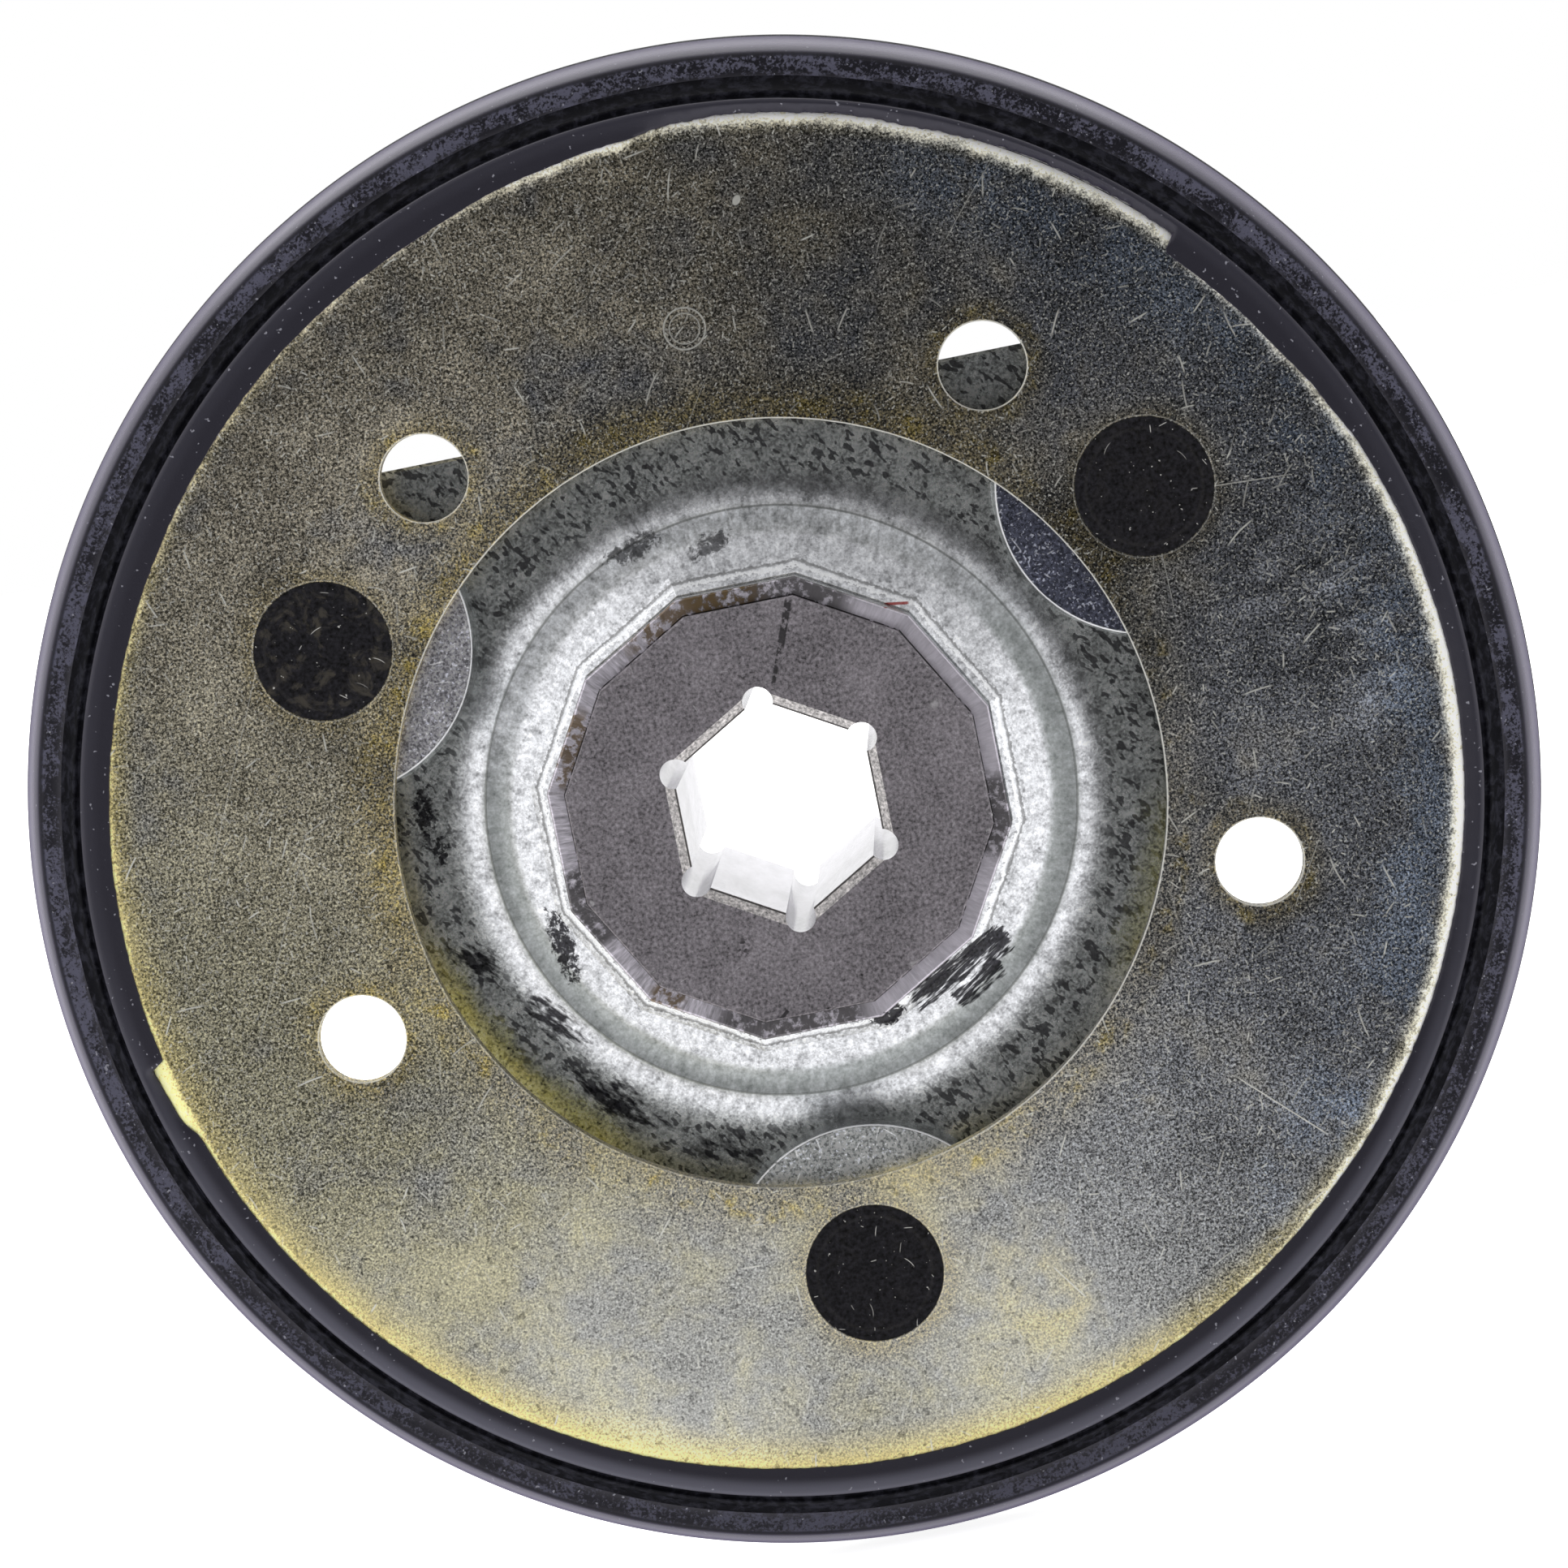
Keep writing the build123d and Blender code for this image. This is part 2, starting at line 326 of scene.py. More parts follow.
# Patches of the disc painted paler or darker than the rest: x, z, radius, soft edge, and the change
DISC_TONE_PATCHES = (
    (-18.0, 52.0, 8.0, 34.0, 0.18),
    (-28.0, 34.0, 4.0, 14.0, 0.35),
    (-47.0, 14.0, 3.0, 9.0, -0.2),
    (14.0, -46.0, 12.0, 16.0, 0.12),
    (50.0, -27.0, 6.0, 16.0, -0.25),
    (-56.0, -16.0, 10.0, 16.0, -0.35),
    (-20.0, -48.0, 8.0, 14.0, 0.25),
    (40.0, 16.0, 6.0, 12.0, -0.25),
    (36.5, 22.0, 2.0, 7.0, -0.45),
    (12.0, 44.0, 6.0, 14.0, -0.18),
    (16.0, -50.0, 8.0, 14.0, 0.15),
)


def plating_marks(p, worn, dull, pale):
    """Flecks, scratches and painted glints on the yellow plating, by how worn, dull or pale it is there.
    """
    flecks = p.scratches(0.8, 0.8, 0.10, 0.28, 5.0) * (0.2 + worn * 0.8) * (0.4 + dull * 0.6)
    glints = p.noise(0.26, 1.0, 0.5, shift=25.0).rise(0.60, 0.66) * (0.2 + dull * 0.8)
    short = p.most(
        p.scratches(2.4, 2.2, 0.11, 0.45, 31.0, bow=0.3) * (0.35 + worn * 0.65),
        p.scratches(5.0, 4.4, 0.12, 0.45, 57.0, lean=55.0, spread=120.0, bow=0.12),
    )
    long = p.scratches(17.0, 15.0, 0.07, 0.42, 77.0, lean=62.0, spread=60.0, bow=0.02) * 0.5
    pale_flecks = p.scratches(1.6, 1.4, 0.12, 0.7, 41.0, lean=12.0, spread=90.0) * pale
    return p.most(flecks, short, long, glints * 0.6, pale_flecks)


def chosen_marks(p):
    """The few scratches on the disc that can be told apart in the photo, and the plain rings."""
    return p.most(
        p.stroke((38.9, -35.2), (47.2, -43.1), 0.09),
        p.stroke((17.5, -50.5), (20.3, -54.4), 0.09),
        p.stroke((44.0, 22.8), (56.0, 22.2), 0.06) * 0.7,
        p.stroke((-56.0, -14.0), (-46.0, 8.0), 0.05) * 0.4,
        p.stroke((-58.0, 2.0), (-47.5, 25.0), 0.05) * 0.4,
        p.spot(7.6, 59.3, 0.30, 0.12, 1.5, 55.0),
        p.ring_mark(0.1, 48.0) * 0.75,
    )


def yellow_zinc():
    """Yellow chromated zinc on rolled steel, dull and brown where worn, pale towards lower left, partly
    as painted light.
    """
    p = Paint("yellow_zinc_steel")
    cloud = p.noise(24.0, 3.0, 0.55, 0.6)
    mottle = p.noise(6.5, 4.0, 0.6, 0.5, shift=3.0)
    blotch = p.noise(2.0, 3.0, 0.6, 0.4, shift=5.0)
    grain = p.noise(0.26, 2.0, 0.65, shift=7.0)
    speck = p.noise(0.17, 1.0, 0.5, shift=11.0)

    # How bright the disc is: it grows towards lower left, partly in the plating and partly as painted
    # light, and has a few cloudy patches
    slope = p.x * -0.545 + p.z * -0.838
    uneven = (mottle - 0.5) * 1.6 + (blotch - 0.5) * 1.0
    even = slope.rise(-10.0, 50.0)
    tone = slope * 0.0125 - 1.20 + (cloud - 0.5) * 1.0 + uneven * (1.0 - even * 0.72)
    for x, z, inside, soft, change in DISC_TONE_PATCHES:
        tone = tone + p.spot(x, z, inside, soft) * change
    clouds = p.streaks(4.0, 2.6, 8.0, 5.0, shift=2.0)
    pale = p.most(p.spot(55.0, 10.0, 2.0, 9.0), p.spot(58.0, 1.0, 1.0, 7.0) * 0.7)
    tone = tone + pale * (clouds - 0.475) * 7.0
    bright = tone.math("EXPONENT")

    # Hue: warm at the left and top, bluish at the right, brown round the openings; the yellow at the rim
    # is a painted highlight
    hue = (cloud - 0.5) * 2.6 + (mottle - 0.5) * 2.4 + (blotch - 0.5) * 0.8
    warm = (p.x * -0.013 + p.z * 0.005 + hue * 1.2 + 0.48).clamp()
    colour = p.mix(warm, (0.93, 0.97, 1.09), (1.10, 1.0, 0.80))
    colour = p.mix(even * 0.8, colour, p.mix(warm, (1.0, 0.99, 0.92), (1.05, 1.0, 0.70)))
    bluish = p.radius.rise(56.0, 63.0) * p.most(p.sector(345.0, 22.0, 20.0), p.sector(42.0, 20.0, 15.0))
    colour = p.mix(bluish * (mottle.rise(0.42, 0.56) * 0.9), colour, (0.78, 0.93, 1.22))
    holes = p.ring_distance(FIRST_HOLE, HOLE_COUNT)
    rivets = p.ring_distance(FIRST_RIVET, RIVET_COUNT)
    ragged = (mottle - 0.5) * 5.0 + (blotch - 0.5) * 4.0
    halo = p.most(
        (holes + ragged).fall(4.4, 7.6) * 0.75,
        (rivets + ragged).fall(6.9, 9.5) * 0.6,
        (p.radius + ragged * 1.3).fall(38.2, 45.0) * (0.45 + p.sector(115.0, 55.0, 40.0) * 0.55),
        p.spot(32.5, 17.5, 2.0, 6.0, 1.6, 300.0) * 0.9,
        (mottle * 0.6 + cloud - 0.8).rise(0.12, 0.4) * 0.5,
    )
    halo = halo * (0.55 + (grain + speck - 1.0) * 1.6 + (blotch - 0.5) * 1.6).clamp()
    colour = p.mix(halo, colour, (1.28, 1.03, 0.44))
    # Painted highlight: a yellow band inside the rim, strongest and widest low on the left, and a pale
    # band on the bend, cream at the top and right
    rim_width = 1.2 + p.sector(245.0, 40.0, 60.0) * 3.4 + p.sector(165.0, 30.0, 25.0) * 1.0
    rim = 1.0 - (66.9 - p.radius + ragged * 0.25).rise(0.1, rim_width)
    rim_highlight = rim * (0.35 + p.sector(235.0, 60.0, 60.0) * 0.65)
    colour = p.mix(rim_highlight, colour, (1.18, 1.02, 0.50))
    torn_lip = p.sector(67.0, 23.0, 3.0)
    frayed = (grain - 0.5) * 1.2 + (blotch - 0.5) * 2.0 - torn_lip * 0.8
    bend_highlight = (p.radius + frayed).rise(65.0, 67.3) * p.front
    colour = p.mix(bend_highlight * p.sector(30.0, 65.0, 40.0), colour, (1.08, 1.04, 0.88))
    bright = bright * (1.0 - halo * 0.12) * (1.0 + rim * 0.3)
    bright = p.most(bright, bend_highlight * (0.35 + bend_highlight * 0.95))
    deposit = p.most((holes + ragged).band(5.6, 0.3, 1.2), (p.radius + ragged).band(40.6, 0.4, 1.6))
    colour = p.mix(deposit * blotch.rise(0.5, 0.7) * 0.6, colour, (1.35, 1.05, 0.22))

    # Sand-like grain with flecks and scratches
    dull = bright.fall(0.25, 0.75)
    relief = (2.0 + dull * 4.6) * (1.0 - bend_highlight * 0.5)
    sand = 0.97 - dull * 0.09 + ((grain - 0.5) + (speck - 0.5) * 0.7) * relief
    dark_specks = p.noise(1.0, 3.0, 0.6, shift=15.0).fall(0.36, 0.40)
    worn = p.noise(11.0, 2.0, 0.5, shift=21.0).rise(0.42, 0.58)
    # Painted highlights along the edges of the opening and the holes and round the rivets, on the opening
    # brightest at the top and right
    highlight_side = 0.35 + p.sector(40.0, 95.0, 40.0) * 0.65
    edge_highlight = p.most(
        p.radius.fall(OPENING_RADIUS + 0.06, OPENING_RADIUS + 0.16) * highlight_side,
        holes.fall(HOLE_RADIUS + 0.055, HOLE_RADIUS + 0.155) * 0.8,
        rivets.band(RIVET_HEAD_RADIUS + 0.07, 0.03, 0.06) * 0.25,
    )
    on_face = p.most(chosen_marks(p), edge_highlight * 0.85) * p.front
    marks = p.most(plating_marks(p, worn, dull, pale), on_face)
    colour = p.scale_colour(colour, bright * sand.math("MAXIMUM", 0.22) * (1.0 - dark_specks * 0.4))
    colour = p.mix(marks * 0.95, colour, (0.95, 0.94, 0.88))
    cracks = p.scratches(6.0, 4.0, 0.05, 0.3, 51.0, bow=0.5) * p.spot(-6.0, -52.0, 10.0, 22.0)
    colour = p.mix(cracks * 0.7, colour, (0.07, 0.06, 0.05))
    rough = 0.33 + (grain - 0.5) * 0.3 + bright * 0.26 + (bend_highlight * 0.12).math("MAXIMUM", edge_highlight * 0.2)
    height = grain * 0.5 + speck * 0.35 + marks * 0.25
    return p.finish(colour, rough, p.bump(height, 0.035), metallic=0.92)


def black_rubber():
    """Moulded black rubber: satin lip, dusty sidewall and glossy tread."""
    p = Paint("black_rubber")
    smear = p.noise(1.0, 8.0, 0.8, 0.5)
    patch = p.noise(6.0, 3.0, 0.5, 0.5, shift=4.0)
    pores = p.noise(0.26, 2.0, 0.6, shift=9.0)
    low = p.sector(262.0, 32.0, 55.0)
    turned = p.bearing * (math.radians(1.0) * 73.0)
    dragged = p.noise(1.2, 5.0, 0.7, point=p.join(turned * 0.3, p.radius, p.y), shift=6.0)
    edge = p.radius + (dragged - 0.5) * 5.0 + (smear - 0.5) * 3.0
    land = edge.rise(71.6, 72.7) * p.radius.fall(73.8, 74.3)
    dusty = (smear + (dragged - 0.5) * 0.8 + (patch - 0.5) * 0.8 + (pores - 0.5) * 1.2).rise(0.40, 0.66)
    colour = p.mix(dusty * land * (0.78 - low * 0.22), (0.004, 0.004, 0.0065), (0.075, 0.075, 0.112))
    satin = p.radius.fall(69.35, 69.6)
    colour = p.mix(satin, colour, (0.011, 0.0105, 0.016))
    # Painted highlight on the rounded outer edge of the satin band, strongest at the bottom
    roll = p.radius.rise(67.6, 68.9) * satin
    colour = p.mix(roll * (0.12 + low * 0.88), colour, (0.066, 0.066, 0.086))
    motes = p.noise(0.5, 1.0, 0.5, shift=14.0).rise(0.70, 0.75) * p.facing.rise(0.2, 0.5)
    colour = p.mix(motes * 0.6, colour, (0.26, 0.26, 0.30))
    tread = p.radius.rise(74.3, 75.7)
    colour = p.mix(tread, colour, (0.082, 0.073, 0.107))
    shaded = tread * low * 0.75
    colour = p.mix(shaded, colour, (0.016, 0.015, 0.021))
    contact = abs(p.y).fall(2.2, 5.0) * p.radius.rise(74.9, 75.3)
    scuffed = contact * (0.75 + (smear - 0.5) * 2.0)
    colour = p.mix(scuffed, colour, (0.008, 0.008, 0.011))
    shoulder = p.radius.band(74.1, 0.12, 0.3)
    colour = p.mix(shoulder * 0.75, colour, (0.004, 0.004, 0.006))
    height = smear * (0.5 + dusty * land * 0.4) + pores * 0.35
    rough = 0.40 + dusty * land * 0.26 - tread * 0.26 + shoulder * 0.35 + contact * 0.5 + shaded * 0.4
    normal = p.bump(height * (1.0 - tread * 0.6), 0.035)
    return p.finish(
        colour, rough, normal, Specular_IOR_Level=0.40, Specular_Tint=(0.93, 0.90, 1.0, 1.0),
        Sheen_Weight=0.2, Sheen_Roughness=0.4, Sheen_Tint=(0.62, 0.52, 1.0, 1.0),
    )


def dull_rubber():
    """The same rubber where it is sooty and matt: in the groove, and where the tread runs."""
    p = Paint("dull_black_rubber")
    soot = p.noise(1.4, 6.0, 0.7, 0.6)
    pores = p.noise(0.35, 2.0, 0.6, shift=9.0)
    colour = p.mix(soot.rise(0.45, 0.62), (0.003, 0.003, 0.0045), (0.015, 0.015, 0.021))
    worn = abs(p.y).rise(1.3, 2.4) * p.radius.rise(74.5, 75.0)
    colour = p.mix(worn, colour, (0.040, 0.037, 0.050))
    row = p.sector(262.0, 30.0, 20.0) * p.radius.band(71.0, 0.12, 0.15)
    holes = row * p.noise(0.75, 0.0, 0.5, shift=19.0).rise(0.6, 0.66)
    colour = p.mix(holes, colour, (0.001, 0.001, 0.002))
    normal = p.bump(soot * 0.6 + pores * 0.4 - holes, 0.03)
    return p.finish(colour, 0.62 + (pores - 0.5) * 0.3, normal, Specular_IOR_Level=0.05)


def boss_tops(p):
    """Burnished tops of the bosses: their colour, with painted light making the bottom and left ones
    paler than the upper right one, and how much rougher they are than the rest.
    """
    low, left = p.sector(270.0, 20.0, 30.0), p.sector(150.0, 20.0, 30.0)
    # Painted light: the same burnished top is pale on the bottom boss, a little darker on the left one
    # and dark bluish grey on the upper right one
    tone = p.mix(low, (0.34, 0.36, 0.50), (0.97, 1.0, 1.0))
    tone = p.mix(left, tone, (0.86, 0.84, 0.92))
    scuffs = p.most(
        p.scratches(0.6, 0.5, 0.10, 0.25, 13.0), p.scratches(2.2, 2.6, 0.09, 0.45, 23.0, bow=0.1)
    )
    grain = 0.9 + (p.noise(0.3, 2.0, 0.7, shift=33.0) - 0.5) * 4.5
    colour = p.scale_colour(tone, grain.math("MAXIMUM", 0.35))
    colour = p.mix(scuffs * 0.75, colour, (0.85, 0.85, 0.88))
    nicks = p.noise(0.32, 2.0, 0.6, shift=35.0).rise(0.575, 0.66)
    colour = p.mix(nicks * 0.7, colour, (0.72, 0.74, 0.84))
    return colour, p.most(low, left) * 0.12 + nicks * 0.3 + scuffs * 0.3 - 0.05


def collar_rim(p, shear, across):
    """Colour of the collar's sheared rim: striated, with rusty and dark spots."""
    shear_depth = 0.7 + p.sector(185.0, 60.0, 30.0) * 1.4
    colour = p.scale_colour((0.74, 0.70, 0.78), 0.95 + (shear - 0.5) * shear_depth)
    stain = p.noise(0.9, 4.0, 0.7, shift=6.0)
    rust = p.most(p.sector(103.0, 14.0, 10.0), p.sector(153.0, 8.0, 5.0), p.sector(228.0, 3.0, 3.0))
    dark = p.most(
        p.sector(82.0, 18.0, 8.0), p.sector(347.0, 8.0, 6.0), p.sector(196.0, 9.0, 4.0),
        p.sector(262.0, 16.0, 8.0),
    )
    colour = p.mix(dark * stain.rise(0.38, 0.52) * 0.85, colour, (0.09, 0.085, 0.085))
    colour = p.mix(rust * stain.rise(0.44, 0.56) * 0.85, colour, (0.19, 0.125, 0.055))
    gap = across.fall(HUB_FLAT + 0.10, HUB_FLAT + 0.16) * stain.rise(0.40, 0.48)
    return p.mix(gap * 0.9, colour, (0.02, 0.018, 0.018))


def black_smears(p):
    """Smears left on the hub plate by a shaft seal or a tool, torn along the way they were rubbed."""
    torn = (p.streaks(0.42, 7.0, 30.0, 3.0, shift=12.0) - 0.5) * 4.5
    curdled = (p.noise(0.8, 5.0, 0.75, 0.6, shift=18.0) - 0.5) * 4.5
    dragged = (p.streaks(0.6, 3.0, 135.0, 5.0, shift=16.0) - 0.5) * 4.0
    return p.most(
        p.ragged(p.stroke((8.4, -22.2), (20.0, -17.2), 1.1, 1.6), torn, 0.2, 0.8),
        p.ragged(p.stroke((12.8, -23.0), (18.6, -20.0), 0.7, 1.5), torn, 0.25, 0.85),
        p.ragged(p.spot(6.3, -22.9, 0.4, 1.0, 1.8, 10.0), curdled, 0.3, 0.65),
        p.ragged(p.spot(-24.3, -9.8, 0.3, 1.5, 3.4, 275.0), curdled, 0.3, 0.8),
        p.ragged(p.spot(-35.3, 5.6, 0.3, 1.7, 2.4, 85.0), curdled, 0.3, 0.9),
        p.ragged(p.spot(-34.4, 1.7, 0.2, 1.2, 1.8, 80.0), curdled, 0.35, 0.9),
        p.ragged(p.spot(-33.1, -9.9, 0.3, 2.0, 2.2, 320.0), dragged, 0.3, 1.1),
        p.ragged(p.spot(-27.2, -17.4, 0.4, 2.6, 2.4, 308.0), dragged, 0.3, 1.1),
        p.ragged(p.spot(-22.0, -27.0, 0.4, 2.8, 2.8, 316.0), dragged, 0.3, 1.1),
        p.ragged(p.spot(-12.5, -33.5, 0.3, 2.8, 2.8, 345.0), dragged, 0.35, 1.2) * 0.85,
        p.ragged(p.spot(-1.8, 26.6, 0.3, 1.4, 2.2, 20.0), curdled, 0.35, 0.9) * 0.8,
        p.ragged(p.spot(-9.3, 27.7, 0.3, 1.6, 2.6, 18.0), curdled, 0.35, 0.9) * 0.8,
    ) * p.front


def clear_zinc():
    """Bright clear zinc on a stamping: mottled, with dark specks where it is flat, and black smears."""
    p = Paint("clear_zinc_steel")
    brushed = p.radial_streaks(0.75, 2.2)
    mottle = p.noise(2.6, 4.0, 0.6, 0.3)
    grain = p.noise(0.3, 2.0, 0.6, shift=8.0)
    specks = p.streaks(0.62, 1.9, 128.0, 1.0, shift=5.0)
    thick = p.noise(5.0, 3.0, 0.6, shift=9.0)
    flat = p.radius.rise(31.0, 34.0)
    speckled = (specks + (thick - 0.5) * 0.2).fall(0.395, 0.425) * flat * (0.3 + p.front * 0.7)
    relief = (0.35 + p.front * 0.65) * (1.6 + flat * 1.4)
    shade = 0.97 + (grain - 0.5) * relief + (brushed - 0.5) * (1.8 - flat * 0.8)
    shade = (shade + (mottle - 0.5) * (1.2 - flat * 0.6)).math("MAXIMUM", 0.3)
    colour = p.mix(flat, (0.68, 0.69, 0.72), (0.80, 0.83, 0.83))
    colour = p.scale_colour(colour, shade)
    colour = p.mix(speckled * 0.85, colour, (0.09, 0.09, 0.10))
    tarnish = (1.0 - p.front) * (0.34 + (thick - 0.5) * 1.6 + (mottle - 0.5) * 0.8)
    colour = p.mix(tarnish, colour, (0.30, 0.30, 0.29))

    # Valley round the cone, darkened with painted shade, most over the lower half and at the right, and a
    # painted shade line along the ridge where it ends
    shade_sectors = p.most(p.sector(265.0, 90.0, 25.0), p.sector(10.0, 15.0, 15.0))
    valley = p.radius.band(28.4, 0.8, 1.1) * p.front
    colour = p.mix(valley * (0.12 + shade_sectors * 0.38), colour, (0.33, 0.37, 0.35))
    colour = p.mix(p.radius.band(29.6, 0.05, 0.12) * p.front * 0.6, colour, (0.14, 0.15, 0.14))

    # Foot of the collar: a painted highlight line and a painted shade line beside it, along the fold
    across = p.flat_distance(COLLAR_SIDES)
    foot = (mottle + grain - 1.0) * 1.2
    foot_highlight = (across + foot).band(COLLAR_FLAT + 0.88, 0.10, 0.14) * p.front
    colour = p.mix(foot_highlight * 0.8, colour, (0.97, 0.98, 1.0))
    crease_shade = (across + foot * 0.5).band(COLLAR_FLAT + 1.33, 0.06, 0.14) * p.front
    colour = p.mix(crease_shade * 0.7, colour, (0.16, 0.16, 0.16))

    # Burnished tops of the bosses, and a painted highlight round the edge of each top
    from_boss = p.ring_distance(FIRST_RIVET, RIVET_COUNT)
    boss = from_boss.fall(BOSS_RADIUS - 0.2, BOSS_RADIUS) * p.y.fall(FACE_Y + 2.5, FACE_Y + 2.9)
    boss_colour, boss_rough = boss_tops(p)
    colour = p.mix(boss, colour, boss_colour)
    boss_rim_highlight = from_boss.band(BOSS_RADIUS + 0.02, 0.04, 0.07) * p.y.fall(FACE_Y + 2.6, FACE_Y + 2.9)
    colour = p.mix(boss_rim_highlight, colour, (0.95, 0.95, 0.97))

    # Sheared rim of the collar
    rim = p.y.fall(FACE_Y - 3.35, FACE_Y - 3.2)
    shear = p.radial_streaks(0.34, 4.0, 3.0, shift=2.0)
    rim_colour = collar_rim(p, shear, across)
    colour = p.mix(rim, colour, rim_colour)

    # Painted reflection of the yellow disc's opening wall on the plate beside the opening, low on both
    # sides
    low_sides = p.most(p.sector(214.0, 12.0, 16.0), p.sector(335.0, 6.0, 14.0) * 0.6)
    yellow_reflection = (p.radius + (mottle - 0.5) * 4.0).rise(35.2, 37.8) * low_sides * p.front
    yellow_reflection_colour = p.scale_colour((0.92, 0.90, 0.44), 0.95 + (grain - 0.5) * 4.0)
    colour = p.mix(yellow_reflection * 0.8, colour, yellow_reflection_colour)

    # Smears, a red line and fine hairs
    smears = black_smears(p)
    soot = p.scale_colour((0.014, 0.013, 0.018), 1.0 + (grain - 0.5) * 5.0)
    colour = p.mix(smears * 0.95, colour, soot)
    red = p.stroke((13.9, 17.5), (16.5, 17.1), 0.22) * p.front
    colour = p.mix(red * 0.9, colour, (0.33, 0.035, 0.03))
    hairs = p.most(
        p.scratches(5.0, 4.5, 0.05, 0.4, 61.0, bow=0.05) * 0.5,
        p.stroke((-1.6, 38.0), (0.8, 27.7), 0.07) * 0.7,
        p.stroke((-0.6, 35.0), (0.9, 31.4), 0.06) * 0.6,
    ) * p.front
    colour = p.mix(hairs * 0.6, colour, (0.85, 0.86, 0.88))
    rough = 0.25 + (mottle - 0.5) * 0.3 + smears * 0.1 + rim * 0.2
    rough = rough + boss * boss_rough + boss_rim_highlight * 0.4 + valley * 0.33
    height = mottle * (0.5 - flat * 0.25) + grain * 0.2 + brushed * 0.25 + rim * shear * 0.4
    return p.finish(colour, rough, p.bump(height, 0.055), metallic=0.95)


def ink_marks(p, breaks):
    """The dashed ink line on the hub's face, its trail, and dark spots broken up by a noise."""
    return p.most(
        p.stroke((5.1, 20.4), (3.2, 15.4), 0.55, 0.16) * breaks.rise(0.38, 0.46),
        p.stroke((3.5, 16.4), (1.8, 12.0), 0.28, 0.14) * breaks.rise(0.42, 0.50),
        p.stroke((-3.0, -19.6), (-4.0, -20.4), 0.25, 0.1),
        p.spot(-6.1, -12.6, 0.2, 0.8, 1.6, 60.0) * breaks.rise(0.46, 0.55),
        p.spot(-12.4, 1.8, 0.1, 0.5, 2.6, 100.0) * breaks.rise(0.5, 0.6),
    )


def sintered():
    """Sintered steel: matt warm grey and finely grained, burnished inside the bore."""
    p = Paint("sintered_steel")
    grain = p.noise(0.35, 3.0, 0.65)
    cloud = p.noise(5.0, 4.0, 0.6, shift=3.0)
    face = p.facing.rise(0.9, 0.97)
    shade = 0.78 + (grain - 0.5) * 2.8 + (cloud - 0.5) * 0.9
    colour = p.scale_colour((0.26, 0.24, 0.262), shade)
    inside = p.radius.fall(BORE_REACH, BORE_REACH + 0.2)
    bore = inside * abs(p.facing).fall(0.2, 0.5)
    polish = p.noise(1.6, 3.0, 0.6, point=p.join(p.x, p.y * 0.2, p.z), shift=5.0)

    # Shade inside the bore and its flutes, and the pale chamfer at the bore's mouth
    shaded = p.y.band(-4.0, 4.0, 9.0) * 0.22 + p.radius.rise(11.0, 11.4) * 0.25
    polished = 0.92 - shaded + (polish - 0.5) * 0.7
    colour = p.mix(bore, colour, p.scale_colour((0.66, 0.645, 0.70), polished))
    mouth = inside * p.facing.band(0.7, 0.12, 0.1)
    colour = p.mix(mouth, colour, p.scale_colour((0.60, 0.575, 0.57), 0.95 + (grain - 0.5) * 3.5))
    inner_edge = p.flat_distance(BORE_SIDES).band(BORE_FLAT + 0.11, 0.05, 0.06) * mouth
    colour = p.mix(inner_edge * 0.9, colour, (0.05, 0.045, 0.045))

    # Ink, small nicks, and chips along the edge of the face
    breaks = p.noise(0.55, 3.0, 0.6, shift=8.0)
    colour = p.mix(ink_marks(p, breaks) * face * 0.9, colour, (0.028, 0.026, 0.028))
    chips = (breaks + (p.radius - 20.6) * 0.14).rise(0.60, 0.66) * p.radius.rise(17.5, 20.0) * 0.6
    flecks = p.scratches(2.6, 1.2, 0.06, 0.35, 9.0, bow=0.3) * 0.5
    light = p.most(
        chips,
        flecks,
        p.stroke((9.6, -17.6), (11.4, -17.4), 0.2, 0.3) * 0.5,
        p.stroke((2.0, 12.6), (-0.6, 12.2), 0.03) * 0.2,
        p.spot(17.0, 7.2, 0.1, 0.5, 1.4, 30.0) * 0.5,
    )
    colour = p.mix(light * face * 0.6, colour, (0.70, 0.69, 0.70))
    rough = 0.47 + (grain - 0.5) * 0.2 - bore * 0.28 + mouth * 0.3
    normal = p.bump(grain * (1.0 - bore * 0.8), 0.03)
    return p.finish(colour, rough, normal, metallic=0.7)


def black_rivet():
    """Black oxide rivets with a faint turned ring and a painted highlight round the edge, worn brownish
    on the left one.
    """
    p = Paint("black_rivet_steel")
    grain = p.noise(0.4, 3.0, 0.65)
    wear = p.noise(2.2, 5.0, 0.65, 0.8, shift=6.0)
    distance = p.ring_distance(FIRST_RIVET, RIVET_COUNT)
    left = p.x.fall(-30.0, -28.0)
    colour = p.scale_colour((0.0095, 0.009, 0.0115), 0.85 + (grain - 0.5) * 5.0)
    colour = p.mix(wear.rise(0.50, 0.64) * (0.06 + left * 0.7), colour, (0.050, 0.044, 0.035))
    inner = distance.band(5.75, 0.06, 0.2)
    colour = p.mix(inner * 0.08, colour, (0.075, 0.07, 0.065))
    # Painted highlight round the edge of the head
    rim = distance.rise(RIVET_HEAD_RADIUS - 0.13, RIVET_HEAD_RADIUS - 0.07)
    colour = p.mix(rim * 0.6, colour, (0.32, 0.32, 0.30))
    motes = p.noise(0.34, 1.0, 0.5, shift=12.0).rise(0.72, 0.77)
    flecks = p.most(p.scratches(2.1, 1.6, 0.06, 0.3, 43.0, bow=0.5), motes * 0.8)
    colour = p.mix(flecks * 0.8, colour, (0.50, 0.49, 0.47))
    normal = p.bump(grain + inner * 0.4, 0.03)
    return p.finish(colour, 0.5 - rim * 0.15, normal, metallic=0.3, Specular_IOR_Level=0.2)


